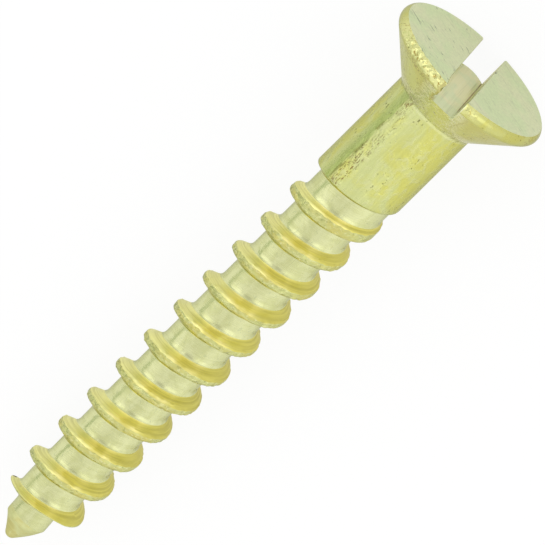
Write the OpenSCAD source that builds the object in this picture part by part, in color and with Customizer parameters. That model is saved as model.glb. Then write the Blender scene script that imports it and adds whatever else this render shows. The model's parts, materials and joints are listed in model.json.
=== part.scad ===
// Slotted countersunk wood screw, turned and cut from one brass blank.
// It lies on its side on Z = 0, resting on the edge of its head and on its thread, with +X towards
// the head and one end of the slot straight down. The origin is under the middle of its box.
// The modules below lay_down() make the screw standing on its tip along +Z, and their +X side is
// the one that ends up underneath.

/* [Overall] */
// Length from the flat face of the head to the end of the tip
length = 29.85; // [28.5:0.05:40]
// Diameter of the plain shank
shank_d = 4; // [3.8:0.05:4.4]

/* [Head] */
// Largest diameter of the head, across its rounded rim
head_d = 7.95; // [7.2:0.05:8.6]
// Radius of the rounded rim between the face and the cone
rim_r = 0.38; // [0.34:0.01:0.5]
// Depth of the widest point of the rim below the face
rim_depth = 0.31; // [0.2:0.01:0.33]
// Angle between the countersunk cone and the screw's axis
cone_angle = 45; // [41:1:48]
// Radius of the sweep between the cone and the shank
neck_r = 0.3; // [0.1:0.05:0.5]
// Width of the driver slot
slot_w = 1.25; // [0.8:0.05:1.5]
// Depth of the driver slot below the face
slot_depth = 1.25; // [0.6:0.05:1.6]

/* [Thread] */
// Distance between one turn of the thread and the next
pitch = 1.865; // [1.7:0.005:1.95]
// Number of whole turns that the rib makes
turns = 11; // [8:1:12]
// Height above the tip at which the rib begins
rib_start = 1.575; // [1.4:0.005:1.9]
// How far the crests next to the shank lie below its surface
crest_relief = 0.01; // [0.005:0.005:0.1]
// How much smaller the crest's radius is at the tip end of the thread
crest_taper = 0.11; // [0:0.01:0.25]
// Diameter of the core next to the shank
core_d = 2.89; // [2.7:0.01:3]
// How much smaller the core's radius is at the tip end of the thread
core_taper = 0.18; // [0:0.01:0.25]
// Width of the rib where it stands on the core
rib_base_w = 0.88; // [0.8:0.01:1]
// Angle between the rib's side that faces the tip and a plane across the screw
tip_flank_angle = 21; // [15:1:27]
// Angle between the rib's side that faces the head and a plane across the screw
head_flank_angle = 29; // [23:1:34]
// Height of the round on the edges of the crest
crest_round = 0.08; // [0.04:0.01:0.12]
// Height of the round at the foot of the rib
foot_round = 0.05; // [0.02:0.01:0.08]
// Turns over which the groove rises out of the shank
runout_turns = 1.9; // [1:0.1:2.5]

/* [Tip] */
// Diameter of the plain nose ahead of the thread
nose_d = 1.85; // [1.5:0.05:2.1]
// Mean height of the nose's edge above the end of the tip
nose_z = 1.12; // [1:0.02:1.2]
// How far the nose's edge leans up and down around the screw
nose_skew = 0.16; // [0:0.02:0.2]
// Radius of the blunt end of the tip
tip_r = 0.3; // [0.15:0.01:0.35]
// How far past its middle the rib is cut back at the tip, from the side that faces the tip
fin_cut = 0.13; // [0:0.01:0.2]
// Angle of that cut-back side to a plane across the screw
fin_angle = 17.5; // [10:0.5:25]
// How far the thin end of the rib is bent over towards the head
fin_bend = 0.12; // [0:0.01:0.2]

/* [Hidden] */
$fn = 96;
seam = 45; // angle at which the rib begins, from the underside
nose_low = 90; // angle at which the nose's edge is lowest, from the underside
overlap = 0.3; // length of the threaded blank that reaches up inside the shank
min_flank = 0.05; // least width of a flank where the groove has run out
min_depth = 0.001; // and its least height
min_crest = 0.03; // width of the edge that a cut-back rib comes to
max_round = 0.25; // most of a flank or crest that a round takes up

// Places along the helix are counted in turns from the rib's start at the tip.
// The groove on the head side of the rib at t is half a turn on, at t + 0.5.
groove_end = turns + 0.5; // here the groove has risen out of the blank
nose_end = 0.125; // up to here the groove is as deep as the nose
core_begin = 0.625; // from here on it has the depth of the core
fin_end = 0.4; // up to here the rib is fully cut back
rib_full = 0.79; // from here on it has its whole width
rise_begin = 0.04; // the rib rises out of the nose from here
rise_end = 0.11; // up to here
bend_end = 0.36; // and it is bent over up to here
thread_end = 1.15; // past the rib's last whole turn, here the shank is round again

shank_r = shank_d / 2;
blank_r = shank_r - crest_relief;
shank_start = rib_start + pitch * (turns + thread_end);
half_base = rib_base_w / 2;
tip_slope = tan(tip_flank_angle);
head_slope = tan(head_flank_angle);
fin_slope = tan(fin_angle);

function clamp(x) = max(0, min(1, x));
function smooth(x) = let (c = clamp(x)) c * c * (3 - 2 * c);
function mix(a, b, share) = a + (b - a) * share;
function along(t) = rib_start + pitch * t;

// Radius of the blank that the crests are left from
function crest_r(t) = blank_r - crest_taper * clamp(1 - t / turns);
// Radius at the bottom of the groove
function root_r(t) =
    let (
        core = core_d / 2 - core_taper * clamp(1 - t / turns),
        left = clamp((groove_end - t) / runout_turns),
        depth = (crest_r(t) - core) * (1 - pow(1 - left, 2))
    )
    mix(nose_d / 2, crest_r(t) - depth, smooth((t - nose_end) / (core_begin - nose_end)));
// How far the rib is cut back: 1 fully, 0 not at all
function cut_back(t) = 1 - smooth((t - fin_end) / (rib_full - fin_end));
// Distance of the crest's edge from the rib's middle, towards the tip
function tip_edge(t) =
    let (depth = crest_r(t) - root_r(max(t - 0.5, core_begin)))
    mix(half_base - max(depth * tip_slope, min_flank), -fin_cut, cut_back(t));
// Radius of the crest: a rib that is cut back comes to an edge below its full height
function top_r(t) =
    let (flank_w = half_base + tip_edge(t) - min_crest)
    min(crest_r(t), root_r(t + 0.5) + flank_w / head_slope);
// Distance of the crest's other edge from the rib's middle, towards the head
function head_edge(t) =
    let (depth = top_r(t) - root_r(t + 0.5))
    half_base - max(depth * head_slope, min_flank);

// One side of the rib from its foot to its crest, as distance inwards from the crest's edge
// and radius
function side(root, top, slope, crest_w) =
    let (
        depth = max(top - root, min_depth),
        width = max(depth * slope, min_flank),
        lift = min(foot_round / depth, max_round),
        drop = min(crest_round / depth, max_round)
    )
    [
        [-width - lift * depth, root],
        [-width * (1 - lift), root + lift * depth],
        [-width * drop, top - drop * depth],
        [min(drop * depth, crest_w * max_round), top]
    ];
function tip_side(t) =
    let (
        crest_w = head_edge(t) + tip_edge(t),
        slope = mix(tip_slope, fin_slope, cut_back(t))
    )
    [for (p = side(root_r(t - 0.5), top_r(t), slope, crest_w)) [along(t) - tip_edge(t) + p.x, p.y]];
function head_side(t) =
    let (
        crest_w = head_edge(t) + tip_edge(t),
        points = side(root_r(t + 0.5), top_r(t), head_slope, crest_w)
    )
    [for (i = [3 : -1 : 0]) [along(t) + head_edge(t) - points[i].x, points[i].y]];
function rib(t) = concat(tip_side(t), head_side(t));

// The nose's edge, lower on one side of the screw than on the other
function nose_edge(angle) = [nose_z - nose_skew * cos(angle - nose_low), nose_d / 2];
// A point on the round end of the tip
function tip_point(a) = tip_r * [1 - cos(a), sin(a)];
tip_span = 90 - atan2(nose_d / 2, nose_z - tip_r) + asin(tip_r / norm([nose_d / 2, nose_z - tip_r]));
// The rib's start, bent over and risen from the slope between the nose and the next turn
function rib_from_nose(t, edge) =
    let (
        foot = tip_side(t + 1)[0],
        risen = smooth((t - rise_begin) / (rise_end - rise_begin)),
        bend = fin_bend * (1 - smooth((t - rise_end) / (bend_end - rise_end))) / (top_r(t) - edge.y)
    )
    [for (p = rib(t))
        let (
            x = p.x + bend * max(p.y - foot.y, 0),
            slope_r = mix(edge.y, foot.y, clamp((x - edge.x) / (foot.x - edge.x)))
        )
        [x, mix(slope_r, p.y, risen)]
    ];

tip_points = [tip_point(tip_span / 2), tip_point(tip_span)];

// One line of points from the tip to the shank, as height and radius
function column(angle) =
    let (t = (angle - seam) / 360, edge = nose_edge(angle))
    concat(
        tip_points,
        [edge],
        rib_from_nose(t, edge),
        [for (k = [1 : turns - 1]) each rib(t + k)],
        tip_side(t + turns),
        [[shank_start + overlap, blank_r]]
    );

// The nose and the threaded length. Going round once leads from one turn of the rib to the
// next, so across the seam each point is joined to the one that lies a rib further on.
module threaded_blank() {
    line_count = round($fn / 2); // straight lines of points around the thread
    angles = [for (j = [0 : line_count - 1]) seam + 360 * j / line_count];
    lines = [for (a = angles) column(a)];
    n = len(lines[0]);
    top = n - 1;
    edge = len(tip_points); // the nose's edge is the point that follows the tip's
    step = len(rib(1));
    last = (line_count - 1) * n; // first point of the last line
    apex = line_count * n;
    points = concat(
        [for (j = [0 : line_count - 1], p = lines[j])
            [p.y * cos(angles[j]), p.y * sin(angles[j]), p.x]],
        [[0, 0, 0], [0, 0, shank_start + overlap]]
    );
    function square_of(a, b) = [[a, a + 1, b + 1], [a, b + 1, b]];
    faces = concat(
        // Between neighbouring lines
        [for (j = [0 : line_count - 2], i = [0 : top - 1]) each square_of(j * n + i, (j + 1) * n + i)],
        // Across the seam, first on the tip and then on the thread
        [for (i = [0 : edge - 1]) each square_of(last + i, i)],
        [for (i = [edge + 1 : top - step - 2]) each square_of(last + i, i + step)],
        // The first turn of the rib, fanned from the nose's edge
        [for (i = [edge : edge + step]) [last + edge, i + 1, i]],
        [[last + edge, last + edge + 1, edge + 1 + step]],
        // The groove's end, fanned from the top of the first line
        [for (i = [top - step - 1 : top - 1]) [last + i, last + i + 1, top]],
        [[last + top - step - 1, top, top - 1]],
        // The end of the tip, and the flat end inside the shank
        [for (j = [0 : line_count - 1]) [apex, j * n, (j + 1) % line_count * n]],
        [for (j = [0 : line_count - 1]) [apex + 1, (j + 1) % line_count * n + top, j * n + top]]
    );
    polyhedron(points, faces, convexity = 10);
}

// Points of an arc around c, from angle a to angle b
function arc(c, r, a, b, steps) =
    [for (i = [0 : steps]) let (t = mix(a, b, i / steps)) c + r * [cos(t), sin(t)]];

// Centres of the rim's round and of the sweep at the neck, as radius and depth below the face
rim_c = [head_d / 2 - rim_r, rim_depth];
neck_x = shank_r + neck_r;
neck_c = [neck_x, rim_c.y + (rim_r + neck_r + (rim_c.x - neck_x) * cos(cone_angle)) / sin(cone_angle)];
face_angle = -asin(rim_depth / rim_r);
face_r = rim_c.x + rim_r * cos(face_angle);

module head_and_shank() {
    section = concat(
        [[0, 0]],
        arc(rim_c, rim_r, face_angle, 90 - cone_angle, 8),
        arc(neck_c, neck_r, 270 - cone_angle, 180, 4),
        [[shank_r, length - shank_start], [0, length - shank_start]]
    );
    difference() {
        translate([0, 0, length])
        rotate_extrude()
        polygon([for (p = section) [p.x, -p.y]]);
        translate([-head_d, -slot_w / 2, length - slot_depth])
        cube([2 * head_d, slot_w, slot_depth + 1]);
    }
}

// Where the screw touches the ground: the rim beside the slot's end, and the first whole crest
rim_touch = [length - rim_depth, sqrt(pow(head_d / 2, 2) - pow(slot_w / 2, 2))];
crest_touch = tip_side(1 - seam / 360)[3];
lean = atan((rim_touch.y - crest_touch.y) / (rim_touch.x - crest_touch.x));
rest_z = crest_touch.y * cos(lean) - crest_touch.x * sin(lean);
rest_x = length * cos(lean) + sqrt(pow(face_r, 2) - pow(slot_w / 2, 2)) * sin(lean);

module lay_down() {
    translate([-rest_x / 2, 0, rest_z])
    rotate([0, 90 - lean, 0])
    children();
}

module wood_screw() {
    color("#d8cf7a")
    lay_down() {
        head_and_shank();
        threaded_blank();
    }
}

wood_screw();
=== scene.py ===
import json
import math
import bpy
from mathutils import Matrix, Vector, noise

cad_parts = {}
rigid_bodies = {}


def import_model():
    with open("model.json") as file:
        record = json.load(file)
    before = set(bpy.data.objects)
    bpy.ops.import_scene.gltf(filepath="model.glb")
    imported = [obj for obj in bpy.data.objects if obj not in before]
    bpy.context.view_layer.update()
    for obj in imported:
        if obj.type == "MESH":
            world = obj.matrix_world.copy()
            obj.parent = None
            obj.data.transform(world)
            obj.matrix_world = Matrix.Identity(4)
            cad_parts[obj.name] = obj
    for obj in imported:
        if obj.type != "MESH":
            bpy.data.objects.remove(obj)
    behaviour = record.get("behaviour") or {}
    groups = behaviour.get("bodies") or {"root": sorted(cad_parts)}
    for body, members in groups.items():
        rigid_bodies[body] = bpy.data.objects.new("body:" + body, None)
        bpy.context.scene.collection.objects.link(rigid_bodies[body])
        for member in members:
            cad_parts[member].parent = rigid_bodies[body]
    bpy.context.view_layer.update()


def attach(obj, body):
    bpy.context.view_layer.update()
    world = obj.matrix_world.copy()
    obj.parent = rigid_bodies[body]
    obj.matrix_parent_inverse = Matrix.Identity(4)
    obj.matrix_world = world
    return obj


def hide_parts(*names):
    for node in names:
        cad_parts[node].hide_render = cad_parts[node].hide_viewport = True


for leftOver in list(bpy.data.objects):
    bpy.data.objects.remove(leftOver)
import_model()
mm = 0.001

# The screw is modelled in millimetres, standing on its tip along Z with its underside
# towards +X, and is laid down at the end. The materials work in that same frame.
screw = {
    "length": 29.85,
    "shankRadius": 2.0,
    "lean": 4.4018,  # degrees that the axis rises towards the head
    "tipX": -15.0254,  # where the tip's end lies
    "tipZ": 1.64677,
}


def clamp(x):
    return max(0.0, min(1.0, x))


def smooth(x):
    x = clamp(x)
    return x * x * (3 - 2 * x)


def rise(x, start, full):
    return smooth((x - start) / (full - start))


def hill(x, start, full, fall, end):
    # rises from 0 to 1 between the first two places and falls back between the last two
    return rise(x, start, full) * (1 - rise(x, fall, end))


def mix(a, b, share):
    return a + (b - a) * share


def fresh(name):
    # a new single point to draw from, in edit mode
    bpy.ops.object.select_all(action="DESELECT")
    bpy.ops.mesh.primitive_plane_add(size=1, location=(0, 0, 0))
    piece = bpy.context.object
    piece.name = name
    piece.data.name = name
    bpy.ops.object.mode_set(mode="EDIT")
    bpy.ops.mesh.select_all(action="SELECT")
    bpy.ops.mesh.merge(type="CENTER")
    return piece


def pickPoints(piece, test):
    # selects the points that pass the test, from edit mode and back to it
    bpy.ops.mesh.select_mode(type="VERT")
    bpy.ops.mesh.select_all(action="DESELECT")
    bpy.ops.object.mode_set(mode="OBJECT")
    for point in piece.data.vertices:
        point.select = test(point.co)
    bpy.ops.object.mode_set(mode="EDIT")


thread = {
    "pitch": 1.865,
    "turns": 11,
    "ribStart": 1.575,  # height of the rib's middle where it begins
    "seam": 45,  # degrees from the underside where it begins
    "ribBase": 0.88,
    "tipFlank": 21,
    "headFlank": 29,
    "coreRadius": 1.445,
    "coreTaper": 0.18,
    "crestTaper": 0.115,
    "crestProud": 0.012,  # how far the crests stand over the shank
    "levelOut": 0.4,  # turns on each side of the rib's end over which they come level with it
    "footRound": 0.08,
    "wideFoot": 0.2,  # the foot on the side that faces the head
    "crestRound": 0.1,
    "runoutTurns": 1.9,
    "noseRadius": 0.925,
    "coreBegin": 0.125,  # turns where the groove leaves the nose
    "coreSettle": 0.5,  # and over which it reaches its depth
    "finEnd": 0.4,  # turns up to which the rib is a thin fin
    "ribFull": 0.79,  # and where it has its full width
    "finCut": 0.13,
    "finAngle": 17.5,
    "finBend": 0.12,
    "bendOver": (0.11, 0.36),  # turns over which the bend runs out
    # kinds of wear, each with the turns where it starts, is full, starts to fade and ends, the
    # last two counted from the rib's end
    "wander": 0.05,  # how far the rib strays from its helix
    "wanderOver": (0.4, 0.9, -0.8, -0.1),
    "uneven": 0.03,  # how much the crest's width and height change along it
    "unevenOver": (0.5, 1.1, -0.6, -0.1),
    "burr": 0.05,  # depth of the ragged marks in the crest
    "burrOver": (0.5, 1.0, -0.3, 0.2),
    "burrSize": 0.22,
    "endStart": 0.04,  # turns over which the rib's thin end rises
    "endRise": 0.12,
    "endLow": 0.07,  # how much lower that end is than the rest
    "lowOver": (0.12, 0.37),
    "breakEnd": 0.13,  # turns up to which it is broken off
    "mapTurn": 11.0,  # length of one turn in the helix map
    "stepsPerTurn": 180,
    "leadIn": 1.25,  # turns that are swept before the rib begins and after it ends
    "leadOut": 1.75,
    "lowRing": 1.31,  # heights between which the sweep is kept
    "highRing": 24.35,
}
tipSlope = math.tan(math.radians(thread["tipFlank"]))
headSlope = math.tan(math.radians(thread["headFlank"]))
finSlope = math.tan(math.radians(thread["finAngle"]))
halfBase = thread["ribBase"] / 2
leastFlank = 0.03


def wave(t, seed):
    # slow change along the helix, -1 to 1
    return noise.noise(Vector((t * 0.9, seed, 0.5))) * 1.6


def wear(t, name):
    # how strong that wear of the rib is there
    start, full, fall, end = thread[name + "Over"]
    return thread[name] * hill(t, start, full, thread["turns"] + fall, thread["turns"] + end)


def along(t):
    return thread["ribStart"] + thread["pitch"] * t


def crestRadius(t):
    taper = thread["crestTaper"] * clamp(1 - t / thread["turns"])
    level = rise(t, thread["turns"] - thread["levelOut"], thread["turns"] + thread["levelOut"])
    return screw["shankRadius"] + thread["crestProud"] * (1 - level) - taper


def rootRadius(t):
    core = thread["coreRadius"] - thread["coreTaper"] * clamp(1 - t / thread["turns"])
    left = clamp((thread["turns"] + 0.5 - t) / thread["runoutTurns"])
    depth = (crestRadius(t) - core) * (1 - (1 - left) ** 2)
    settled = smooth((t - thread["coreBegin"]) / thread["coreSettle"])
    return mix(thread["noseRadius"], crestRadius(t) - depth, settled)


def cutBack(t):
    return 1 - rise(t, thread["finEnd"], thread["ribFull"])


def tipEdge(t):
    settledAt = thread["coreBegin"] + thread["coreSettle"]
    depth = crestRadius(t) - rootRadius(max(t - 0.5, settledAt))
    return mix(halfBase - max(depth * tipSlope, leastFlank), -thread["finCut"], cutBack(t))


def topRadius(t):
    flank = halfBase + tipEdge(t) - leastFlank
    return min(crestRadius(t), rootRadius(t + 0.5) + flank / headSlope)


def roundOff(before, at, after, reach):
    # four points of a round at a corner, each (height, radius)
    before, at, after = Vector(before), Vector(at), Vector(after)
    a = at + (before - at).normalized() * min(reach, (before - at).length * 0.38)
    b = at + (after - at).normalized() * min(reach, (after - at).length * 0.38)
    return [tuple(a.lerp(at, s).lerp(at.lerp(b, s), s)) for s in (0, 1 / 3, 2 / 3, 1)]


def between(a, b, shares):
    return [(mix(a[0], b[0], s), mix(a[1], b[1], s)) for s in shares]


def ribLine(t):
    # one turn's section, from the middle of one groove to the middle of the next,
    # as (distance from the rib's middle, radius)
    half = thread["pitch"] / 2
    low, high, top = rootRadius(t - 0.5), rootRadius(t + 0.5), topRadius(t)
    change = wear(t, "uneven")
    top -= change * 0.6 * (0.5 + wave(t, 3))
    top -= thread["endLow"] * (1 - rise(t, *thread["lowOver"]))
    slope = mix(tipSlope, finSlope, cutBack(t))
    lowEdge = -tipEdge(t) - change * wave(t * 1.7, 11)
    lowFoot = lowEdge - max((top - low) * slope, leastFlank)
    highEdge = halfBase - max((top - high) * headSlope, leastFlank)
    highEdge += change * wave(t * 1.9, 23)
    highFoot = halfBase
    ends = [(-half, low), (lowFoot, low), (lowEdge, top)]
    ends += [(highEdge, top), (highFoot, high), (half, high)]
    foot, crest = thread["footRound"], thread["crestRound"]
    rounds = [
        roundOff(ends[0], ends[1], ends[2], foot),
        roundOff(ends[1], ends[2], ends[3], crest),
        roundOff(ends[2], ends[3], ends[4], crest),
        roundOff(ends[3], ends[4], ends[5], thread["wideFoot"]),
    ]
    line = between(ends[0], rounds[0][0], (0, 0.35, 0.7)) + rounds[0]
    line += between(rounds[0][3], rounds[1][0], (0.33, 0.67)) + rounds[1]
    line += between(rounds[1][3], rounds[2][0], (0.33, 0.67)) + rounds[2]
    line += between(rounds[2][3], rounds[3][0], (0.33, 0.67)) + rounds[3]
    line += between(rounds[3][3], ends[5], (0.3, 0.65, 1))
    return line, low, high, top


def settledLine(t):
    # the section where the rib really runs: risen out of the nose, bent over at its thin end,
    # and strayed a little from the true helix
    line, low, high, top = ribLine(t)
    risen = clamp((t - thread["endStart"]) / thread["endRise"])
    risen = math.sqrt(1 - (1 - risen) ** 2)
    bent = thread["finBend"] * (1 - rise(t, *thread["bendOver"]))
    stray = wear(t, "wander") * wave(t, 41)
    rough = wear(t, "burr")
    settled = []
    for d, r in line:
        # where the rib hasn't risen yet, the groove runs on below it
        slopeRadius = mix(low, high, rise(d, -halfBase, halfBase))
        lift = clamp((r - high) / max(top - high, 0.01))
        near = 1 - rise(abs(d), halfBase, thread["pitch"] / 2)
        if lift > 0.9:  # the crest is ragged, and most so at its edges
            spot = Vector((t * thread["mapTurn"], d, 0)) / thread["burrSize"]
            r -= rough * max(0, noise.noise(spot) + 0.1)
            d += rough * noise.noise(spot + Vector((0, 0, 7.3)))
        settled.append((d + bent * lift + stray * near, mix(slopeRadius, r, risen)))
    return settled


# the finishes, in the order of the screw's material slots
finishes = ["shank", "root", "tipFlank", "crest", "headFlank", "nose", "cone", "rim", "face",
            "slot", "brokenShadeAndOxide"]
# and the finish of each face along the section
ribParts = ["root"] * 4 + ["tipFlank"] * 6 + ["crest"] * 6 + ["headFlank"] * 6 + ["root"] * 5
brokenParts = range(12, 20)  # where the rib's thin end is broken off
mapStep = 30  # steps of the sweep that share one measure of the section


def ribFinish(t, part):
    name = ribParts[part]
    # past its end the rib is plain shank, its crest and head side a little before it
    if t > thread["turns"] + (-0.15 if part >= ribParts.index("crest") else 1):
        name = "shank"
    # the rib's broken end takes the finish painted as shade and oxide
    if thread["endStart"] < t < thread["breakEnd"] and part in brokenParts:
        name = "brokenShadeAndOxide"
    return finishes.index(name)


def sectionLengths(t):
    # how far each point of the section lies from its first point, along the surface
    line = settledLine(t)
    lengths = [0]
    for a, b in zip(line, line[1:]):
        lengths.append(lengths[-1] + math.hypot(b[0] - a[0], b[1] - a[1]))
    return lengths


def makeThread():
    blank = fresh("screwBody")
    half = thread["pitch"] / 2
    count = len(ribParts) + 1
    # the section is drawn point by point, a pitch long
    bpy.ops.transform.translate(value=(screw["shankRadius"], 0, -half))
    for _ in range(count - 1):
        bpy.ops.mesh.extrude_vertices_move(
            TRANSFORM_OT_translate={"value": (0, 0, thread["pitch"] / (count - 1))})
    bpy.ops.object.mode_set(mode="OBJECT")
    # and swept along the helix
    sweep = blank.modifiers.new("helix", "SCREW")
    turnsSwept = round(thread["turns"] + thread["leadIn"] + thread["leadOut"])
    sweep.axis = "Z"
    sweep.angle = math.tau
    sweep.screw_offset = thread["pitch"]
    sweep.iterations = turnsSwept
    sweep.steps = sweep.render_steps = thread["stepsPerTurn"]
    sweep.use_smooth_shade = True
    bpy.ops.object.modifier_apply(modifier=sweep.name)
    return blank, count


def settleThread(blank, count):
    # each point is moved to where the section has it at that place along the helix
    mesh = blank.data
    points = []
    steps = len(mesh.vertices) // count
    order = sorted(range(count), key=lambda i: mesh.vertices[i].co.z)
    place = [order.index(i) for i in range(count)]
    for step in range(steps):
        t = step / thread["stepsPerTurn"] - thread["leadIn"]
        angle = math.radians(thread["seam"]) + math.tau * t
        line = settledLine(t)
        for i in range(count):
            d, r = line[place[i]]
            z = along(t) + d
            # what lies past either end is drawn back to a ring, square to the axis
            if z < thread["lowRing"]:
                z, r = thread["lowRing"], thread["noseRadius"]
            if z > thread["highRing"]:
                z, r = thread["highRing"], screw["shankRadius"]
            points += (r * math.cos(angle), r * math.sin(angle), z)
    mesh.vertices.foreach_set("co", points)
    # the helix map runs along the rib in one way and over its section in the other, in millimetres
    helix = mesh.uv_layers.new(name="helix").data
    lengths = [sectionLengths(step / thread["stepsPerTurn"] - thread["leadIn"])
               for step in range(0, steps, mapStep)]
    for face in mesh.polygons:
        part = min(place[v % count] for v in face.vertices)
        t = min(v // count for v in face.vertices) / thread["stepsPerTurn"] - thread["leadIn"]
        face.material_index = ribFinish(t, part)
        for loop in face.loop_indices:
            v = mesh.loops[loop].vertex_index
            step, i = v // count, place[v % count]
            helix[loop].uv = (step / thread["stepsPerTurn"] * thread["mapTurn"],
                              lengths[min(step // mapStep, len(lengths) - 1)][i])
    mesh.update()


def pickRing(piece, height):
    pickPoints(piece, lambda co: abs(co.z - height) < 0.00005)


def growRings(rings, height, radius):
    # the picked ring is extruded from one (height, radius) to the next
    for nextHeight, nextRadius in rings:
        bpy.ops.mesh.extrude_region_move(
            TRANSFORM_OT_translate={"value": (0, 0, nextHeight - height)})
        grown = nextRadius / radius
        bpy.ops.transform.resize(value=(grown, grown, grown), center_override=(0, 0, nextHeight))
        height, radius = nextHeight, nextRadius


def arc(centre, radius, start, end, steps):
    # (height, radius) along an arc, angles from straight out
    made = []
    for i in range(1, steps + 1):
        a = math.radians(mix(start, end, i / steps))
        made.append((centre[0] + radius * math.sin(a), centre[1] + radius * math.cos(a)))
    return made


nose = {
    "edge": 1.12,  # mean height of the nose's edge
    "edgeHalf": 0.02,  # half the height over which it turns
    "edgeTurn": 0.985,
    "skew": 0.16,  # how far the edge leans
    "tipRadius": 0.3,
    "aside": 0.16,  # how far the nose is bent to one side
    "asideAt": 0.9,  # height where it is
    "tipAside": 0.1,  # how far the end of the tip is
    "asideEnd": 3.1,  # height where all but a little of that is gone
    "asideLeft": 0.04,
    "bendEnd": (3.0, 9.0),  # heights over which the rest goes
}


def asideAt(z):
    near = mix(nose["tipAside"], nose["aside"], rise(z, 0, nose["asideAt"]))
    gone = rise(z, nose["asideAt"], nose["asideEnd"])
    return near * (1 - gone) + nose["asideLeft"] * gone * (1 - rise(z, *nose["bendEnd"]))


def bendAside(piece):
    for point in piece.data.vertices:
        point.co.y -= asideAt(point.co.z)


def makeNose(piece):
    cut = thread["lowRing"]
    pickRing(piece, cut)
    radius = thread["noseRadius"]
    # the edge, leaned over, and then the cone down to the round end
    above, below = nose["edge"] + nose["edgeHalf"], nose["edge"] - nose["edgeHalf"]
    growRings([(above, radius)], cut, radius)
    lean = math.atan(nose["skew"] / radius)
    bpy.ops.transform.rotate(value=lean, orient_axis="X", center_override=(0, 0, nose["edge"]))
    start = (below, radius * nose["edgeTurn"])
    growRings([start], above, radius)
    reach = math.hypot(radius, nose["edge"] - nose["tipRadius"])
    span = 90 - math.degrees(math.atan2(radius, nose["edge"] - nose["tipRadius"]))
    span += math.degrees(math.asin(nose["tipRadius"] / reach))
    ball = [(nose["tipRadius"] * (1 - math.cos(math.radians(a))),
             nose["tipRadius"] * math.sin(math.radians(a)))
            for a in (span, span * 0.8, span * 0.6, span * 0.4, span * 0.2)]
    cone = between(start, ball[0], (0.15, 0.3, 0.45, 0.6, 0.75, 0.9))
    height, wide = start
    for i, (nextHeight, nextRadius) in enumerate(cone + ball):
        growRings([(nextHeight, nextRadius)], height, wide)
        if i < len(cone):  # the lean fades out along the cone
            bpy.ops.transform.rotate(value=-lean / len(cone), orient_axis="X",
                                     center_override=(0, 0, nextHeight))
        height, wide = nextHeight, nextRadius
    bpy.ops.mesh.extrude_region_move(TRANSFORM_OT_translate={"value": (0, 0, -height)})
    bpy.ops.transform.resize(value=(0, 0, 0), center_override=(0, 0, 0))
    bpy.ops.mesh.remove_doubles(threshold=0.0005)


head = {
    "radius": 3.968,
    "rimRadius": 0.38,
    "rimDepth": 0.31,
    "coneAngle": 45,
    "neckRadius": 0.3,
    "slotWidth": 1.3,
    "slotShift": -0.055,  # how far the slot is off the middle
    "slotDepth": 1.22,
    "slotFlare": 0.03,
    "dent": 0.055,  # depth of the hammered marks in the rim
    "dentSize": 0.23,
    "dentReach": 0.52,  # how far down from the face they go
    "dentInner": 0.1,  # and how far in from the rim's round
    "dentSoft": 0.15,  # over how much they fade there
    # degrees around the screw where the marks begin, are full, start to fade and end, on the
    # two sides of one end of the slot
    "beatenAbove": (-84, -40, -4, -1),
    "beatenBelow": (5, 8, 16, 28),
    "belowShare": 0.6,  # how strong the lower ones are
    "slotBurr": 0.15,  # how far metal is pushed into the slot at one end
    "burrX": -2.6,  # where that begins
    "burrSize": 0.2,
    "slotFall": 0.067,  # how far its floor falls to both sides at the other end
    "cornerX": 3.62,  # where the corners of that end begin to be rounded
    "cornerRound": 0.15,
}


def hammered(x, y):
    # how much the rim is beaten there
    angle = math.degrees(math.atan2(-y, -x))
    return hill(angle, *head["beatenAbove"]) + hill(angle, *head["beatenBelow"]) * head["belowShare"]


def hammerRim(piece):
    top, middle = screw["length"], head["radius"] - head["rimRadius"]
    low, inner, soft = top - head["dentReach"], middle - head["dentInner"], head["dentSoft"]
    pickPoints(piece, lambda co: co.z > low and math.hypot(co.x, co.y) > inner - 0.1
               and hammered(co.x, co.y) > 0)
    bpy.ops.mesh.subdivide(number_cuts=2)
    bpy.ops.object.mode_set(mode="OBJECT")
    for point in piece.data.vertices:
        x, y, z = point.co
        r = math.hypot(x, y)
        if z < low or r < inner:
            continue
        share = hammered(x, y) * rise(z, low, low + soft) * rise(r, inner, inner + soft)
        if share > 0:
            # dents go in from the surface, towards the middle of the rim's round
            bumps = clamp(0.55 + 1.3 * noise.noise(point.co / head["dentSize"]))
            centre = Vector((x / r * middle, y / r * middle, top - head["rimDepth"]))
            point.co += (centre - point.co).normalized() * head["dent"] * bumps * share
    bpy.ops.object.mode_set(mode="EDIT")


def makeHead(piece):
    shank = screw["shankRadius"]
    top = screw["length"]
    cut = thread["highRing"]
    pickRing(piece, cut)
    slant = math.radians(head["coneAngle"])
    rim = (top - head["rimDepth"], head["radius"] - head["rimRadius"])
    neckX = shank + head["neckRadius"]
    drop = head["rimRadius"] + head["neckRadius"] + (rim[1] - neckX) * math.cos(slant)
    neck = (rim[0] - drop / math.sin(slant), neckX)
    faceAngle = math.degrees(math.asin(head["rimDepth"] / head["rimRadius"]))
    rings = between((cut, shank), (neck[0], shank), (0.25, 0.5, 0.75, 1))
    rings += arc(neck, head["neckRadius"], 180, 90 + head["coneAngle"], 5)
    coneEnd = arc(rim, head["rimRadius"], head["coneAngle"] - 90, head["coneAngle"] - 90, 1)[0]
    rings += between(rings[-1], coneEnd, (0.1, 0.25, 0.4, 0.55, 0.7, 0.85, 1))
    rings += arc(rim, head["rimRadius"], head["coneAngle"] - 90, faceAngle, 12)
    faceRadius = rings[-1][1]
    rings += [(top, faceRadius * s) for s in (0.985, 0.96, 0.9)]
    growRings(rings, cut, shank)
    bpy.ops.mesh.edge_face_add()


def cutAcross(axis, places):
    # cuts the whole mesh by planes square to an axis, in edit mode
    square = [0, 0, 0]
    square[axis] = 1
    for place in places:
        point = [0, 0, 0]
        point[axis] = place
        bpy.ops.mesh.select_all(action="SELECT")
        bpy.ops.mesh.bisect(plane_co=point, plane_no=square)


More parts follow.
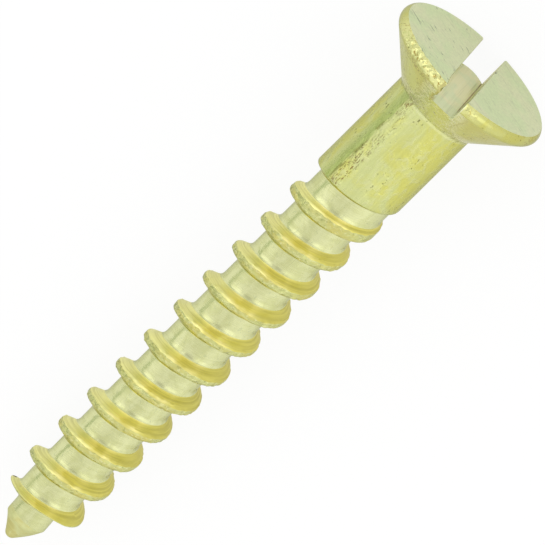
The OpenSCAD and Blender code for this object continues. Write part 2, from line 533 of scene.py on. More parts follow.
def cutSlot(piece):
    bpy.ops.object.mode_set(mode="OBJECT")
    bpy.ops.object.select_all(action="DESELECT")
    deep, wide = head["slotDepth"], head["slotWidth"]
    bpy.ops.mesh.primitive_cube_add(size=1, location=(0, head["slotShift"], screw["length"] - deep / 2),
                                    scale=(3 * head["radius"], wide, deep))
    cutter = bpy.context.object
    bpy.ops.object.transform_apply(location=True, rotation=True, scale=True)
    # the top is drawn out past the face, and spread a little where it meets it
    bpy.ops.object.mode_set(mode="EDIT")
    flare = head["slotFlare"]
    pickPoints(cutter, lambda co: co.z > screw["length"] - deep / 2)
    bpy.ops.transform.translate(value=(0, 0, -flare))
    bpy.ops.mesh.extrude_region_move(TRANSFORM_OT_translate={"value": (0, 0, 2 * flare)})
    bpy.ops.transform.resize(value=(1, 1 + 2 * flare / wide, 1),
                             center_override=(0, head["slotShift"], screw["length"]))
    # points to shape it with: close together at the beaten end and at the round corners
    cutAcross(0, [-4.2 + 0.1 * i for i in range(22)])
    cutAcross(2, [screw["length"] - 0.12 - 0.12 * i for i in range(8)])
    cutAcross(0, (-1, 0, 1, 2, 3, 3.62, 3.66, 3.70, 3.73, 3.75, 3.77))
    cutAcross(1, [head["slotShift"] + wide * (i - 3) / 8 for i in range(7)])
    bpy.ops.object.mode_set(mode="OBJECT")
    for point in cutter.data.vertices:
        x, y, z = point.co
        below = screw["length"] - z
        off = (y - head["slotShift"]) / (wide / 2)
        if below > deep - 0.001:
            point.co.z -= head["slotFall"] * off * off * rise(x, 0, 3)
        if abs(off) > 0.99 and x > head["cornerX"]:
            past = clamp((x - head["cornerX"]) / head["cornerRound"])
            point.co.y += math.copysign(head["cornerRound"], off) * (1 - math.sqrt(1 - past * past))
        # beaten metal leans into the slot at one end of its upper wall
        if off > 0.99 and 0 < below < deep - 0.05:
            lean = smooth((head["burrX"] - x) / 0.8) * smooth((deep - below) / 0.4)
            rough = 0.6 + 0.8 * noise.noise(Vector((x, 0, z)) / head["burrSize"])
            point.co.y -= head["slotBurr"] * lean * rough
    bpy.ops.object.select_all(action="DESELECT")
    bpy.context.view_layer.objects.active = piece
    piece.select_set(True)
    slot = piece.modifiers.new("slot", "BOOLEAN")
    slot.operation = "DIFFERENCE"
    slot.solver = "EXACT"
    slot.object = cutter
    bpy.ops.object.modifier_apply(modifier=slot.name)
    bpy.data.objects.remove(cutter)


def setFinishes(piece):
    # the finish of what isn't the thread goes by its place
    bpy.ops.object.mode_set(mode="OBJECT")
    top, shank = screw["length"], screw["shankRadius"]
    for face in piece.data.polygons:
        x, y, z = face.center
        r = math.hypot(x, y)
        if z < thread["lowRing"]:
            name = "nose"
        elif z < thread["highRing"]:
            continue
        elif z > top - 0.01:
            name = "face"
        elif z > top - head["rimDepth"] - head["rimRadius"] * 0.85:
            name = "rim"
        elif r > shank + 0.12:
            name = "cone"
        else:
            name = "shank"
        face.material_index = finishes.index(name)
    bpy.ops.object.mode_set(mode="EDIT")


def finishSlot(piece):
    top = screw["length"]
    for face in piece.data.polygons:
        y, z = face.center.yz
        inSlot = abs(y - head["slotShift"]) < head["slotWidth"] / 2 + 0.05
        inSlot = inSlot and z > top - head["slotDepth"] - 0.05
        if inSlot and (abs(face.normal.y) > 0.9 or z < top - 0.1):
            face.material_index = finishes.index("slot")


def layDown(piece):
    piece.rotation_euler = (0, math.radians(90 - screw["lean"]), 0)
    piece.location = (screw["tipX"] * mm, 0, screw["tipZ"] * mm)
    piece.scale = (mm, mm, mm)
    bpy.ops.object.transform_apply(location=True, rotation=True, scale=True)


def makeScrew():
    piece, count = makeThread()
    settleThread(piece, count)
    bpy.ops.object.mode_set(mode="EDIT")
    bpy.ops.mesh.select_all(action="SELECT")
    bpy.ops.mesh.remove_doubles(threshold=0.0002)
    makeNose(piece)
    print("thread and nose made")
    makeHead(piece)
    bpy.ops.mesh.select_all(action="SELECT")
    bpy.ops.mesh.normals_make_consistent(inside=False)
    setFinishes(piece)
    hammerRim(piece)
    print("head made")
    cutSlot(piece)
    finishSlot(piece)
    print("slot cut")
    bendAside(piece)
    layDown(piece)
    return piece


def newTree(owner):
    owner.use_nodes = True
    owner.node_tree.nodes.clear()
    return owner.node_tree


def put(tree, kind, inputs, output=0, **settings):
    # adds a node, with each input a number, a colour or another node's output
    made = tree.nodes.new("ShaderNode" + kind)
    for name, value in settings.items():
        setattr(made, name, value)
    for key, value in inputs.items():
        if isinstance(value, bpy.types.NodeSocket):
            tree.links.new(value, made.inputs[key])
        else:
            made.inputs[key].default_value = value
    return made.outputs[output]


def sums(tree, kind, a, b=0.0):
    return put(tree, "Math", {0: a, 1: b}, operation=kind)


def plus(tree, a, b):
    return sums(tree, "ADD", a, b)


def times(tree, value, *others):
    for other in others:
        value = sums(tree, "MULTIPLY", value, other)
    return value


def spread(tree, value, low, high, start=0.0, end=1.0):
    # brings what lies between low and high smoothly to between start and end
    return put(tree, "MapRange", {"Value": value, "From Min": low, "From Max": high,
                                  "To Min": start, "To Max": end}, interpolation_type="SMOOTHSTEP")


def window(tree, value, middle, half, soft):
    # 1 near the middle, falling softly to 0 on both sides
    away = sums(tree, "ABSOLUTE", sums(tree, "SUBTRACT", value, middle))
    return spread(tree, away, half, half + soft, 1.0, 0.0)


def tint(tree, share, a, b, kind="MIX"):
    mixer = tree.nodes.new("ShaderNodeMix")
    mixer.data_type = "RGBA"
    mixer.blend_type = kind
    for socket, value in ((mixer.inputs[0], share), (mixer.inputs[6], a), (mixer.inputs[7], b)):
        if isinstance(value, bpy.types.NodeSocket):
            tree.links.new(value, socket)
        else:
            socket.default_value = value if isinstance(value, float) else (*value, 1)
    return mixer.outputs[2]


def grain(tree, place, scale, detail=2.0, shift=0.0, twist=0.0):
    # noise with so many waves in a millimetre, the same or another number along each way
    scale = scale if isinstance(scale, tuple) else (scale, scale, scale)
    turned = put(tree, "Mapping", {"Vector": place, "Scale": scale, "Location": (shift, shift, shift)})
    return put(tree, "TexNoise", {"Vector": turned, "Scale": 1.0, "Detail": detail,
                                  "Roughness": 0.55, "Distortion": twist})


def screwFrame(tree):
    # millimetres in the frame that the screw is modelled in
    return put(tree, "Mapping", {
        "Vector": put(tree, "TexCoord", {}, output=3),
        "Location": (screw["tipX"] * mm, 0, screw["tipZ"] * mm),
        "Rotation": (0, math.radians(90 - screw["lean"]), 0),
        "Scale": (mm, mm, mm),
    }, vector_type="TEXTURE")


def helixFrame(tree):
    return put(tree, "UVMap", {}, uv_map="helix")


def splitUp(tree, place):
    made = tree.nodes.new("ShaderNodeSeparateXYZ")
    tree.links.new(place, made.inputs[0])
    return made.outputs


def roundAngle(tree, place):
    # degrees around the screw from its upper side, growing towards -Y
    x, y, _ = splitUp(tree, place)
    turned = sums(tree, "ARCTAN2", times(tree, y, -1.0), times(tree, x, -1.0))
    return times(tree, turned, math.degrees(1))


metalEdge = (0.75, 0.76, 0.7, 1)  # how the metal dims where it is seen along its surface
plainEdge = (1, 1, 1, 1)  # and where it doesn't


def finishMetal(tree, look, colour, roughness, relief, edge=metalEdge):
    normal = put(tree, "Bump", {"Height": relief, "Distance": look["relief"] * mm, "Strength": 1.0})
    shader = put(tree, "BsdfPrincipled", {
        "Base Color": colour, "Metallic": look.get("metallic", 1.0), "Roughness": roughness,
        "Specular Tint": edge, "Normal": normal})
    out = tree.nodes.new("ShaderNodeOutputMaterial")
    tree.links.new(shader, out.inputs["Surface"])


def uneven(tree, look, value, more):
    # the roughness, higher by up to so much where the value is high
    rough = look["roughness"]
    return spread(tree, value, 0.3, 0.75, rough, rough + more)


def laid(tree, colour, other, share, strength):
    # the other colour laid over this one
    return tint(tree, times(tree, share, strength), colour, other)


def marks(tree, place, scale, low, high, detail=2.0, shift=0.0, twist=0.0):
    # 1 where such a noise is strong, 0 elsewhere
    return spread(tree, grain(tree, place, scale, detail, shift, twist), low, high)


def grey(tree, share):
    return put(tree, "CombineColor", {0: share, 1: share, 2: share})


def shaded(tree, colour, value, low, high, dark, light):
    # the colour darkened or lightened as the value goes from low to high
    share = spread(tree, value, low, high, dark, light)
    return tint(tree, 1.0, colour, grey(tree, share), "MULTIPLY")


shankLook = {
    "pale": (0.66, 0.70, 0.30),
    "yellow": (0.69, 0.68, 0.18),
    "cream": (0.71, 0.73, 0.36),
    # the next two are painted reflection: the green band on one side and its darker edge
    "green": (0.42, 0.52, 0.15),
    "edge": (0.30, 0.30, 0.08),
    "stain": (0.30, 0.16, 0.05),
    "pit": (0.20, 0.19, 0.06),
    # painted highlight colour, laid where the shank sweeps into the head
    "light": (0.94, 0.96, 0.56),
    "neck": 27.3,  # height where the shank sweeps into the head
    "bandAngle": -36.0,  # lower edge of the painted green band of reflection, in degrees around the screw
    "tornAngle": -27.0,  # middle of the torn side
    "roughness": 0.17,
    "relief": 0.045,
}


def shankMaterial(tree):
    look = shankLook
    place = screwFrame(tree)
    z = splitUp(tree, place)[2]
    angle = roundAngle(tree, place)
    cloud = grain(tree, place, (0.75, 0.75, 0.5), 4.0, 3.0, 0.9)
    mottle = grain(tree, place, (3.2, 3.2, 2.4), 4.0, 1.0, 0.7)
    streaks = grain(tree, place, (9.0, 9.0, 0.6), 3.0, 6.0)
    share = plus(tree, cloud, spread(tree, angle, 5.0, 60.0, 0.0, 0.2))
    share = plus(tree, share, spread(tree, angle, -75.0, -50.0, 0.2, 0.0))
    colour = tint(tree, spread(tree, share, 0.40, 0.70), look["pale"], look["yellow"])
    colour = laid(tree, colour, look["cream"], spread(tree, mottle, 0.45, 0.7), 0.6)
    # painted reflection: a green band on one side, with a ragged darker edge below it, where a darker
    # strip of the studio is mirrored
    bandAt = plus(tree, angle, spread(tree, streaks, 0.3, 0.7, -2.0, 2.0))
    lower = look["bandAngle"]
    paintedReflectionBand = times(tree, spread(tree, bandAt, lower - 22.0, lower - 2.0),
                 spread(tree, bandAt, lower - 0.5, lower + 2.0, 1.0, 0.0))
    colour = laid(tree, colour, look["green"], paintedReflectionBand, 0.65)
    below = times(tree, window(tree, bandAt, lower, 0.8, 1.5),
                  marks(tree, place, (2.0, 2.0, 1.6), 0.4, 0.6, 3.0, 11.0))
    colour = laid(tree, colour, look["edge"], below, 0.7)
    colour = shaded(tree, colour, streaks, 0.35, 0.7, 0.94, 1.02)
    # painted highlight: lighter where the shank sweeps into the head, on one side
    neck = times(tree, spread(tree, z, look["neck"] - 0.03, look["neck"] + 0.05),
                 spread(tree, angle, -40.0, -15.0))
    colour = laid(tree, colour, look["light"], neck, 0.3)
    # brown curls where the drawn metal is torn along one side, and a few pits
    curls = marks(tree, place, (11.0, 11.0, 2.4), 0.56, 0.61, 3.0, 5.0, 2.2)
    torn = times(tree, curls, window(tree, angle, look["tornAngle"], 4.5, 6.0),
                 marks(tree, place, (0.8, 0.8, 0.5), 0.36, 0.5, 1.0, 8.0))
    colour = laid(tree, colour, look["stain"], torn, 0.85)
    pits = times(tree, marks(tree, place, (8.5, 8.5, 5.0), 0.64, 0.7, 2.0, 9.0),
                 marks(tree, place, (0.9, 0.9, 0.7), 0.56, 0.62, 1.0, 4.0))
    colour = laid(tree, colour, look["pit"], pits, 0.75)
    roughness = uneven(tree, look, mottle, 0.16)
    fine = grain(tree, place, (14.0, 14.0, 5.0), 3.0, 2.0)
    relief = plus(tree, mottle, times(tree, plus(tree, streaks, fine), 0.2))
    relief = sums(tree, "SUBTRACT", relief, times(tree, plus(tree, torn, pits), 0.6))
    finishMetal(tree, look, colour, roughness, relief)


rootLook = {
    "pale": (0.73, 0.75, 0.40),
    "dim": (0.63, 0.65, 0.31),
    "fleck": (0.50, 0.55, 0.30),
    "roughness": 0.17,
    "relief": 0.018,
}


def rootMaterial(tree):
    look = rootLook
    helix, place = helixFrame(tree), screwFrame(tree)
    y = splitUp(tree, place)[1]
    rings = grain(tree, helix, (0.3, 12.0, 1.0), 3.0)
    cloud = grain(tree, place, (1.8, 1.8, 1.2), 3.0, 4.0, 0.8)
    share = plus(tree, times(tree, rings, 0.4), times(tree, cloud, 0.7))
    colour = tint(tree, spread(tree, share, 0.42, 0.72), look["pale"], look["dim"])
    flecks = marks(tree, place, (6.5, 6.5, 4.5), 0.6, 0.7, 3.0, 2.0, 1.0)
    colour = laid(tree, colour, look["fleck"], flecks, 0.45)
    # painted light: lighter towards both sides, darker over the middle
    colour = shaded(tree, colour, sums(tree, "ABSOLUTE", y), 0.3, 1.1, 0.93, 1.1)
    roughness = uneven(tree, look, cloud, 0.16)
    fine = grain(tree, helix, (1.5, 30.0, 1.0), 2.0, 6.0)
    relief = plus(tree, cloud, times(tree, plus(tree, rings, fine), 0.35))
    finishMetal(tree, look, colour, roughness, relief)


flankLook = {
    "pale": (0.88, 0.85, 0.34),
    # the next two are the painted highlight: gold, and deeper gold at its heart
    "gold": (1.0, 0.91, 0.36),
    "deep": (0.84, 0.76, 0.22),
    # painted shade colour for the flank's -Y side
    "olive": (0.72, 0.66, 0.16),
    "highlightAt": -0.2,  # middle of the painted gold highlight, in millimetres from the axis
    "highlightHalf": 0.62,  # and half its width
    "deepAt": -0.22,
    "deepHalf": 0.2,
    "roughness": 0.36,
    "relief": 0.009,
}


def flankMaterial(tree):
    look = flankLook
    helix, place = helixFrame(tree), screwFrame(tree)
    y = splitUp(tree, place)[1]
    lines = grain(tree, helix, (0.35, 9.0, 1.0), 4.0, 8.0, 0.6)
    fine = grain(tree, helix, (0.7, 26.0, 1.0), 2.0, 6.0)
    cloud = grain(tree, helix, (0.6, 1.6, 1.0), 2.0, 4.0)
    # painted highlight: brighter gold over the middle of the screw's width, and deepest gold at its
    # heart
    across = plus(tree, y, spread(tree, cloud, 0.3, 0.7, -0.25, 0.25))
    highlightShare = window(tree, across, look["highlightAt"], look["highlightHalf"], 0.45)
    deepShare = times(tree, window(tree, across, look["deepAt"], look["deepHalf"], 0.3), 0.9)
    colour = tint(tree, highlightShare, look["pale"], look["gold"])
    colour = tint(tree, deepShare, colour, look["deep"])
    # painted shade: olive towards the -Y side
    colour = tint(tree, spread(tree, y, -1.2, -0.4, 1.0, 0.0), colour, look["olive"])
    colour = shaded(tree, colour, lines, 0.34, 0.68, 1.07, 0.88)
    roughness = uneven(tree, look, lines, 0.15)
    relief = plus(tree, lines, times(tree, fine, 0.5))
    finishMetal(tree, look, colour, roughness, relief, plainEdge)


crestLook = {
    "pale": (0.60, 0.62, 0.25),
    "yellow": (0.63, 0.58, 0.18),
    "bright": (0.80, 0.79, 0.42),
    # painted highlight colour for the tip flank's glint
    "gold": (0.85, 0.76, 0.24),
    "pit": (0.24, 0.28, 0.09),
    "roughness": 0.24,
    "relief": 0.035,
}


def crestMaterial(tree):
    look = crestLook
    helix, place = helixFrame(tree), screwFrame(tree)
    y = splitUp(tree, place)[1]
    cloud = grain(tree, helix, (0.8, 2.2, 1.0), 3.0, 2.0, 0.5)
    lumps = grain(tree, helix, (6.5, 10.0, 1.0), 3.0, 7.0, 0.8)
    ragged = grain(tree, helix, (5.5, 9.0, 1.0), 4.0, 5.0, 0.8)
    colour = tint(tree, spread(tree, cloud, 0.4, 0.68), look["pale"], look["yellow"])
    colour = laid(tree, colour, look["bright"], spread(tree, lumps, 0.5, 0.7), 0.7)
    # painted light: lighter towards both sides
    colour = shaded(tree, colour, sums(tree, "ABSOLUTE", y), 1.1, 1.5, 1.0, 1.14)
    pits = spread(tree, ragged, 0.57, 0.7)
    colour = laid(tree, colour, look["pit"], pits, 0.6)
    # darker mottled marks towards its upper side
    upperMottle = times(tree, spread(tree, ragged, 0.46, 0.6), spread(tree, y, 0.4, 1.2))
    colour = laid(tree, colour, look["pit"], upperMottle, 0.35)
    roughness = uneven(tree, look, cloud, 0.2)
    relief = sums(tree, "SUBTRACT", plus(tree, cloud, times(tree, lumps, 0.5)), ragged)
    finishMetal(tree, look, colour, roughness, relief)


def tipFlankMaterial(tree):
    # as the crest, with a painted gold highlight along one band of it
    look = crestLook
    helix, place = helixFrame(tree), screwFrame(tree)
    y = splitUp(tree, place)[1]
    lines = grain(tree, helix, (0.3, 9.0, 1.0), 3.0, 3.0)
    colour = tint(tree, spread(tree, lines, 0.4, 0.68), look["bright"], look["yellow"])
    # painted highlight: a gold glint where y is near 0.45
    colour = laid(tree, colour, look["gold"], window(tree, y, 0.45, 0.1, 0.25), 0.8)
    roughness = uneven(tree, look, lines, 0.15)
    finishMetal(tree, look, colour, roughness, times(tree, lines, 0.4))


noseLook = {
    "pale": (0.70, 0.71, 0.34),
    "worn": (0.65, 0.61, 0.24),
    "roughness": 0.36,
    "relief": 0.02,
}


def noseMaterial(tree):
    look = noseLook
    place = screwFrame(tree)
    z = splitUp(tree, place)[2]
    cloud = grain(tree, place, (1.9, 1.9, 1.6), 3.0, 2.0, 0.9)
    rings = grain(tree, place, (0.6, 0.6, 9.0), 3.0, 4.0)
    share = plus(tree, cloud, spread(tree, z, 0.2, 1.15, 0.22, -0.05))
    colour = tint(tree, spread(tree, share, 0.4, 0.72), look["pale"], look["worn"])
    colour = shaded(tree, colour, rings, 0.35, 0.7, 1.02, 0.96)
    roughness = uneven(tree, look, rings, 0.15)
    relief = plus(tree, cloud, times(tree, rings, 0.15))
    finishMetal(tree, look, colour, roughness, relief)


coneLook = {
    "pale": (0.67, 0.68, 0.21),
    # painted highlight colour
    "light": (0.97, 0.96, 0.64),
    "yellow": (0.65, 0.62, 0.17),
    "edge": (0.87, 0.87, 0.84, 1),
    "olive": (0.46, 0.39, 0.09),
    "stain": (0.24, 0.14, 0.05),
    "pit": (0.2, 0.17, 0.05),
    "roughness": 0.16,
    "relief": 0.02,
}


def coneMaterial(tree):
    look = coneLook
    place = screwFrame(tree)
    _, y, z = splitUp(tree, place)
    angle = roundAngle(tree, place)
    depth = sums(tree, "SUBTRACT", screw["length"], z)
    cloud = grain(tree, place, 0.7, 3.0, 6.0, 0.6)
    mottle = grain(tree, place, 2.6, 3.0, 1.0, 1.0)
    share = plus(tree, cloud, spread(tree, angle, -30.0, 40.0, -0.04, 0.1))
    colour = tint(tree, spread(tree, share, 0.4, 0.64), look["pale"], look["yellow"])
    # painted highlight: lighter over a band where y is near 0, towards the neck, and at the neck on one
    # side
    colour = laid(tree, colour, look["light"], window(tree, y, 0.0, 0.6, 0.9), 0.85)
    colour = laid(tree, colour, look["light"], spread(tree, depth, 1.75, 2.05), 0.45)
    neck = times(tree, spread(tree, depth, 2.08, 2.2), spread(tree, angle, -40.0, -15.0))
    colour = laid(tree, colour, look["light"], neck, 0.3)
    # faint olive streaks run up the cone
    rays = put(tree, "TexNoise", {
        "Vector": put(tree, "CombineXYZ", {0: times(tree, angle, 0.14), 1: times(tree, z, 0.25)}),
        "Scale": 1.0, "Detail": 3.0, "Roughness": 0.6})
    colour = tint(tree, spread(tree, rays, 0.55, 0.72, 0.0, 0.35), colour, look["olive"])
    # scribbled stains where the cone leaves the shank, and under the beaten rim
    scribble = marks(tree, place, 7.5, 0.56, 0.61, 3.0, 3.0, 2.4)
    scrawl = marks(tree, place, 6.0, 0.51, 0.56, 3.0, 8.0, 2.4)
    atNeck = times(tree, spread(tree, depth, 1.7, 2.1), window(tree, angle, -30.0, 14.0, 14.0))
    atRim = times(tree, window(tree, depth, 0.64, 0.06, 0.14), window(tree, angle, -28.0, 13.0, 8.0))
    stained = sums(tree, "MAXIMUM", times(tree, scribble, atNeck), times(tree, scrawl, atRim, 0.7))
    colour = laid(tree, colour, look["stain"], stained, 0.8)
    pits = marks(tree, place, 6.0, 0.71, 0.75, 1.0, 9.0)
    colour = laid(tree, colour, look["pit"], pits, 0.7)
    roughness = uneven(tree, look, mottle, 0.16)
    fine = grain(tree, place, 12.0, 3.0, 2.0)
    relief = plus(tree, mottle, times(tree, fine, 0.25))
    relief = sums(tree, "SUBTRACT", relief, times(tree, plus(tree, stained, pits), 0.5))
    finishMetal(tree, look, colour, roughness, relief, look["edge"])


rimLook = {
    "plain": (0.64, 0.64, 0.23),
    "yellow": (0.62, 0.60, 0.17),
    # gold and deep: the beaten metal's colour, partly painted highlight and painted shade
    "gold": (0.82, 0.82, 0.36),
    "deep": (0.44, 0.31, 0.06),
    "brown": (0.36, 0.24, 0.10),
    "pit": (0.22, 0.18, 0.05),
    "roughness": 0.14,
    "relief": 0.02,
}


def rimMaterial(tree):
    look = rimLook
    place = screwFrame(tree)
    z = splitUp(tree, place)[2]
    angle = roundAngle(tree, place)
    cloud = grain(tree, place, 1.4, 3.0, 5.0, 0.5)
    fine = grain(tree, place, 11.0, 3.0, 7.0)
    plain = tint(tree, spread(tree, cloud, 0.4, 0.66), look["plain"], look["yellow"])
    # beaten on both sides of one end of the slot: the gold is partly the beaten metal's own colour and
    # partly painted highlight, the darker brown blotches partly marks and partly painted shade
    dents = grain(tree, place, 5.5, 3.0, 3.0, 1.0)
    beaten = tint(tree, spread(tree, dents, 0.52, 0.72), look["gold"], look["deep"])
    near = sums(tree, "MAXIMUM", window(tree, angle, -32.0, 20.0, 30.0),
                times(tree, window(tree, angle, 12.0, 5.0, 7.0), 0.55))
    edge = plus(tree, sums(tree, "SUBTRACT", screw["length"], z),
                spread(tree, dents, 0.3, 0.7, -0.06, 0.06))
    near = times(tree, near, spread(tree, edge, 0.4, 0.52, 1.0, 0.0))
    colour = tint(tree, near, plain, beaten)
    scrawl = marks(tree, place, 6.0, 0.51, 0.56, 3.0, 8.0, 2.4)
    lowEdge = times(tree, window(tree, edge, 0.56, 0.08, 0.1), window(tree, angle, -28.0, 13.0, 8.0))
    colour = laid(tree, colour, look["brown"], times(tree, scrawl, lowEdge), 0.5)
    # brown marks at the other end of the rim
    rings = marks(tree, place, 4.5, 0.54, 0.6, 2.0, 12.0, 2.0)
    rings = times(tree, rings, window(tree, angle, 76.0, 6.0, 12.0), 0.5)
    colour = tint(tree, rings, colour, look["brown"])
    pits = marks(tree, place, 5.5, 0.7, 0.74, 1.0, 9.0)
    colour = laid(tree, colour, look["pit"], pits, 0.7)
    roughness = uneven(tree, look, cloud, 0.16)
    relief = plus(tree, times(tree, fine, 0.3), times(tree, dents, near))
    finishMetal(tree, look, colour, roughness, relief)


faceLook = {
    "grey": (0.68, 0.76, 0.45),
    "warm": (0.73, 0.76, 0.48),
    "scratch": (0.27, 0.31, 0.19),
    "nick": (0.12, 0.11, 0.06),
    "roughness": 0.42,
    "relief": 0.01,
}


def faceMaterial(tree):
    look = faceLook
    place = screwFrame(tree)
    y = splitUp(tree, place)[1]
    cloud = grain(tree, place, 0.55, 3.0, 2.0, 0.3)
    speckle = grain(tree, place, 9.0, 3.0, 5.0)
    colour = tint(tree, spread(tree, cloud, 0.38, 0.64), look["grey"], look["warm"])
    colour = shaded(tree, colour, speckle, 0.3, 0.7, 0.95, 1.04)
    # short ticks that lie across the slot, most of them on one half
    turned = put(tree, "Mapping", {"Vector": place, "Rotation": (0, 0, math.radians(122))})
    ticks = marks(tree, turned, (1.4, 8.0, 1.0), 0.60, 0.66, 2.0, 4.0, 0.6)
    faint = marks(tree, turned, (0.9, 8.0, 1.0), 0.6, 0.72, 2.0, 7.0, 0.2)
    where = times(tree, marks(tree, place, 0.9, 0.51, 0.57, 1.0, 3.0),
                  spread(tree, y, -1.0, 1.2, 0.3, 1.0))
    scratches = sums(tree, "MAXIMUM", times(tree, ticks, where), times(tree, faint, 0.25))
    colour = laid(tree, colour, look["scratch"], scratches, 0.85)
    # nicks along the slot's edges
    edge = window(tree, sums(tree, "ABSOLUTE", sums(tree, "SUBTRACT", y, head["slotShift"])),
                  head["slotWidth"] / 2 + 0.03, 0.03, 0.04)
    nicks = times(tree, edge, marks(tree, place, (1.6, 1.6, 1.0), 0.62, 0.68, 2.0, 6.0))
    colour = laid(tree, colour, look["nick"], nicks, 0.85)
    fine = grain(tree, place, 22.0, 2.0, 7.0)
    roughness = uneven(tree, look, fine, 0.1)
    finishMetal(tree, look, colour, roughness, sums(tree, "SUBTRACT", fine, scratches), plainEdge)


slotLook = {
    "cream": (0.76, 0.81, 0.51),
    "warm": (0.86, 0.84, 0.53),
    "line": (0.40, 0.40, 0.30),
    "edge": (0.30, 0.18, 0.06),
    "burr": (0.60, 0.54, 0.18),
    "roughness": 0.34,
    "relief": 0.014,
}


def slotMaterial(tree):
    look = slotLook
    place = screwFrame(tree)
    x, y, z = splitUp(tree, place)
    lines = grain(tree, place, (0.25, 13.0, 13.0), 3.0, 2.0)
    cloud = grain(tree, place, (0.7, 0.9, 0.9), 2.0, 6.0)
    share = plus(tree, cloud, spread(tree, x, -2.5, 2.5, -0.1, 0.1))
    colour = tint(tree, spread(tree, share, 0.4, 0.6), look["cream"], look["warm"])
    colour = laid(tree, colour, look["line"], spread(tree, lines, 0.54, 0.72), 0.32)
    # a thin darker line along the corner where one wall meets the floor
    wall = head["slotShift"] - head["slotWidth"] / 2
    floor = screw["length"] - head["slotDepth"]
    corner = spread(tree, y, wall + 0.02, wall + 0.06, 1.0, 0.0)
    bottom = spread(tree, z, floor + 0.01, floor + 0.05, 1.0, 0.0)
    cornerDarkening = times(tree, corner, bottom, spread(tree, x, -2.6, -1.8),
                 spread(tree, cloud, 0.3, 0.6, 0.5, 0.9))
    colour = tint(tree, cornerDarkening, colour, look["edge"])
    beaten = times(tree, spread(tree, y, 0.35, 0.5), spread(tree, x, -2.9, -2.5, 1.0, 0.0))
    colour = laid(tree, colour, look["burr"], beaten, 0.85)
    roughness = uneven(tree, look, lines, 0.15)
    finishMetal(tree, look, colour, roughness, lines, plainEdge)


# painted shade and oxide: the rib's broken-off end is painted nearly black, for the dark gap it shows
# and for its oxide
brokenShadeAndOxideLook = {
    "dark": (0.07, 0.05, 0.02),
    "brown": (0.2, 0.13, 0.04),
    "metallic": 0.6,
    "roughness": 0.5,
    "relief": 0.03,
}


def brokenShadeAndOxideMaterial(tree):
    look = brokenShadeAndOxideLook
    place = screwFrame(tree)
    lumps = grain(tree, place, 9.0, 4.0, 2.0, 0.5)
    colour = tint(tree, spread(tree, lumps, 0.4, 0.62), look["dark"], look["brown"])
    roughness = spread(tree, lumps, 0.3, 0.7, look["roughness"], look["roughness"] + 0.3)
    finishMetal(tree, look, colour, roughness, lumps)


makers = {
    "shank": shankMaterial, "root": rootMaterial, "tipFlank": tipFlankMaterial,
    "crest": crestMaterial, "headFlank": flankMaterial, "nose": noseMaterial,
    "cone": coneMaterial, "rim": rimMaterial, "face": faceMaterial,
    "slot": slotMaterial, "brokenShadeAndOxide": brokenShadeAndOxideMaterial,
}


def addFinishes(piece):
    for name in finishes:
        material = bpy.data.materials.new(name)
        makers[name](newTree(material))
        piece.data.materials.append(material)


view = {
    "turn": 44.68,  # degrees from level to the screw's axis, as the camera sees it
    "tilt": 19.52,  # degrees that the head leans towards the camera
    "slotTurn": 1.4,  # degrees that the slot is turned away from facing it
    "distance": 0.9,
    "focal": 1403.7,
    "sensor": 36,
    "near": 0.01,
    "far": 20,
    "right": 8.59,  # where the middle of the head's face is, from the middle of the view
    "up": 8.588,
}


def makeCamera():
    lean, turn = math.radians(screw["lean"]), math.radians(view["turn"])
    tilt, slotTurn = math.radians(view["tilt"]), math.radians(view["slotTurn"])
    axis = Vector((math.cos(lean), 0, math.sin(lean)))
    slotUp = Vector((-math.sin(lean), 0, math.cos(lean)))
    side = Vector((0, -1, 0))
    towards = slotUp * math.cos(slotTurn) - side * math.sin(slotTurn)
    side = side * math.cos(slotTurn) + slotUp * math.sin(slotTurn)
    # the camera's right, up and back, from the axis as it sees it and the screw's side
    seenAxis = axis * math.cos(tilt) - towards * math.sin(tilt)
    right = seenAxis * math.cos(turn) + side * math.sin(turn)
    up = seenAxis * math.sin(turn) - side * math.cos(turn)
    back = axis * math.sin(tilt) + towards * math.cos(tilt)
    middle = axis * screw["length"] + Vector((screw["tipX"], 0, screw["tipZ"]))
    middle -= right * view["right"] + up * view["up"]
    place = middle * mm + back * view["distance"]
    camera = bpy.data.objects.new("camera", bpy.data.cameras.new("camera"))
    bpy.context.collection.objects.link(camera)
    camera.data.lens = view["focal"]
    camera.data.sensor_width = view["sensor"]
    camera.data.clip_start = view["near"]
    camera.data.clip_end = view["far"]
    turned = Matrix((right, up, back)).transposed()
    camera.matrix_world = Matrix.Translation(place) @ turned.to_4x4()
    bpy.context.scene.camera = camera


studio = {
    "sky": (1.0, 1.0, 1.0),
    "gap": (0.46, 0.53, 0.38),  # what shows between the light and the table, on one side
    "gapTop": 0.17,  # height of the gap's upper edge, as the sine of its elevation
    "lamps": [(0.19, 0.71, 0.69), (0.2, -0.6, 0.77)],  # ways to the two brightest places
    "glow": 0.4,  # how much brighter they are
    "glowEdge": 0.84,  # and where they fade out, as the cosine of the angle to that way
    "between": (0.26, 0.02, 0.965),  # the way to a darker one
    "dip": 0.33,
    "dipEdge": 0.87,
    "full": 0.99,  # where both have their full strength
    "floorSize": 3.0,
    "floorShade": 0.1,  # how much of the floor's whiteness the object can shade, as it is seen
    "mirrorShade": 0.55,  # and as the metal mirrors it
    "mirrorGlow": 0.33,  # the rest of its whiteness in the metal
}


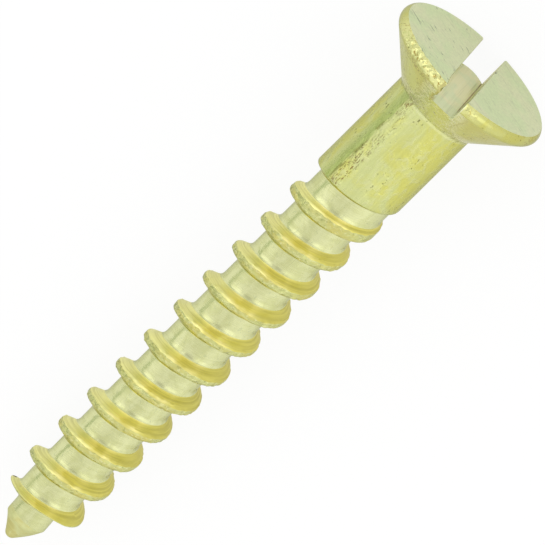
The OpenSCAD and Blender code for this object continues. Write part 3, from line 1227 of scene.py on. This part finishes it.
def makeFloor():
    bpy.ops.object.select_all(action="DESELECT")
    bpy.ops.mesh.primitive_plane_add(size=studio["floorSize"], location=(0, 0, 0))
    floor = bpy.context.object
    floor.name = "floor"
    paper = bpy.data.materials.new("paper")
    tree = newTree(paper)
    rays = tree.nodes.new("ShaderNodeLightPath")
    plain = put(tree, "BsdfDiffuse", {"Color": (0.85, 0.85, 0.85, 1)})
    shade = spread(tree, rays.outputs["Is Camera Ray"], 0.0, 1.0,
                   studio["mirrorShade"], studio["floorShade"])
    dimmed = put(tree, "BsdfDiffuse", {"Color": grey(tree, shade)})
    white = put(tree, "Emission", {"Strength": spread(
        tree, rays.outputs["Is Camera Ray"], 0.0, 1.0, studio["mirrorGlow"], 1 - studio["floorShade"])})
    seen = put(tree, "AddShader", {0: dimmed, 1: white})
    direct = sums(tree, "MAXIMUM", rays.outputs["Is Camera Ray"], rays.outputs["Is Glossy Ray"])
    direct = sums(tree, "MAXIMUM", direct, rays.outputs["Is Transmission Ray"])
    either = put(tree, "MixShader", {0: direct, 1: plain, 2: seen})
    out = tree.nodes.new("ShaderNodeOutputMaterial")
    tree.links.new(either, out.inputs["Surface"])
    floor.data.materials.append(paper)


def makeWorld():
    world = bpy.data.worlds.new("studio")
    bpy.context.scene.world = world
    tree = newTree(world)
    way = put(tree, "TexCoord", {})
    _, y, z = splitUp(tree, way)
    gap = spread(tree, z, studio["gapTop"] * 0.5, studio["gapTop"] * 1.5, 1.0, 0.0)
    gap = times(tree, gap, spread(tree, y, 0.0, 0.6))
    colour = tint(tree, gap, studio["sky"], studio["gap"])
    strength = 1.0
    for lamp in studio["lamps"]:
        towards = put(tree, "VectorMath", {0: way, 1: lamp}, output=1, operation="DOT_PRODUCT")
        glow = spread(tree, towards, studio["glowEdge"], studio["full"], 0.0, studio["glow"])
        strength = plus(tree, strength, glow)
    towards = put(tree, "VectorMath", {0: way, 1: studio["between"]},
                  output=1, operation="DOT_PRODUCT")
    dip = spread(tree, towards, studio["dipEdge"], studio["full"], 0.0, studio["dip"])
    strength = sums(tree, "SUBTRACT", strength, dip)
    sky = put(tree, "Background", {"Color": colour, "Strength": strength})
    plain = put(tree, "Background", {"Color": (1, 1, 1, 1)})
    rays = tree.nodes.new("ShaderNodeLightPath")
    either = put(tree, "MixShader", {0: rays.outputs["Is Camera Ray"], 1: sky, 2: plain})
    out = tree.nodes.new("ShaderNodeOutputWorld")
    tree.links.new(either, out.inputs["Surface"])


creaseAngle = 35  # sharper edges than this stay sharp

body = makeScrew()
addFinishes(body)
bpy.ops.object.select_all(action="DESELECT")
body.select_set(True)
bpy.ops.object.shade_smooth_by_angle(angle=math.radians(creaseAngle))
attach(body, "root")
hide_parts("wood_screw")
print("screw finished")

makeCamera()
makeFloor()
makeWorld()
bpy.context.scene.view_settings.view_transform = "Standard"
print("camera and light set")
